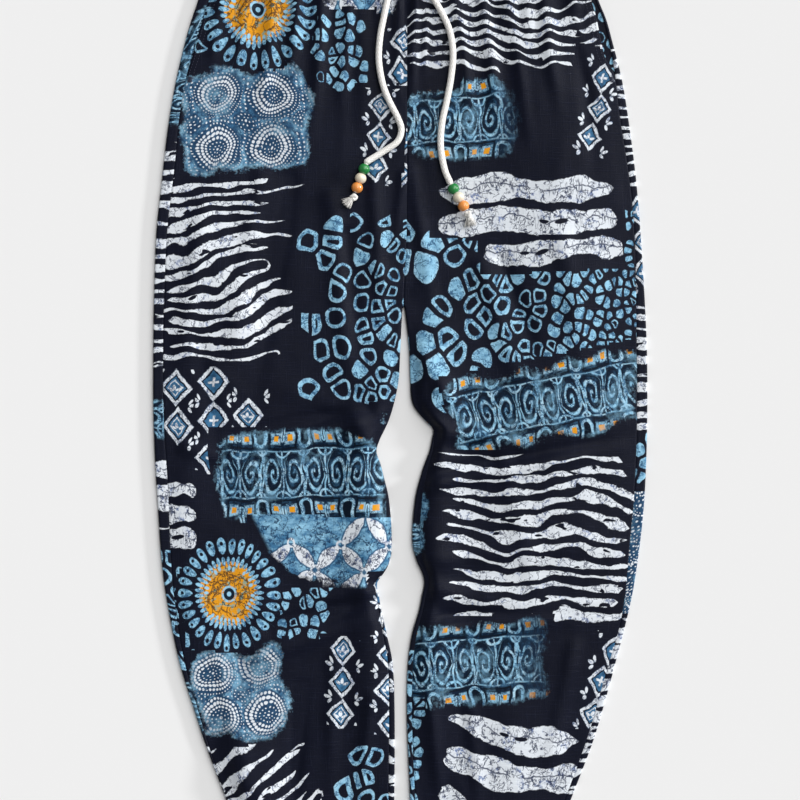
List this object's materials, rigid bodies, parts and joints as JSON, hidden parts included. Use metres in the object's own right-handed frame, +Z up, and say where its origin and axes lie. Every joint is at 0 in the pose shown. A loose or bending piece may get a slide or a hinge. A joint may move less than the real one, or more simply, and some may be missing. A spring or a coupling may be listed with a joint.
{
  "type": "joggers",
  "caption": "Loose tapered joggers laid flat, with a gathered elastic waistband, a beaded drawcord, side seam pockets and elastic cuffs",
  "frame": {"origin": "centre of the laid-out garment's outline, on the surface it lies on", "axes": "+Y to the waist along the garment's length, +X to the right of a viewer who looks down at its front, +Z up from the surface"},
  "size_m": [0.544, 1.045, 0.0172],
  "materials": {
    "print_cloth": "slubby cotton and linen, navy with a light blue, white and gold batik-style print",
    "cotton_cord": "round braided cream cotton cord, frayed at its ends",
    "green_bead": "green lacquered wood",
    "cream_bead": "cream lacquered wood",
    "orange_bead": "orange lacquered wood"
  },
  "bodies": {
    "root": {"front_left": "print_cloth", "front_right": "print_cloth", "back_left": "print_cloth", "back_right": "print_cloth", "pocket_facing_left": "print_cloth", "pocket_facing_right": "print_cloth", "waistband_front": "print_cloth", "waistband_back": "print_cloth", "cuff_left": "print_cloth", "cuff_right": "print_cloth", "drawcord_left": "cotton_cord", "drawcord_right": "cotton_cord", "knot_left": "cotton_cord", "knot_right": "cotton_cord", "bead_left_green": "green_bead", "bead_right_green": "green_bead", "bead_left_cream": "cream_bead", "bead_right_cream": "cream_bead", "bead_left_orange": "orange_bead", "bead_right_orange": "orange_bead"}
  },
  "joints": []
}
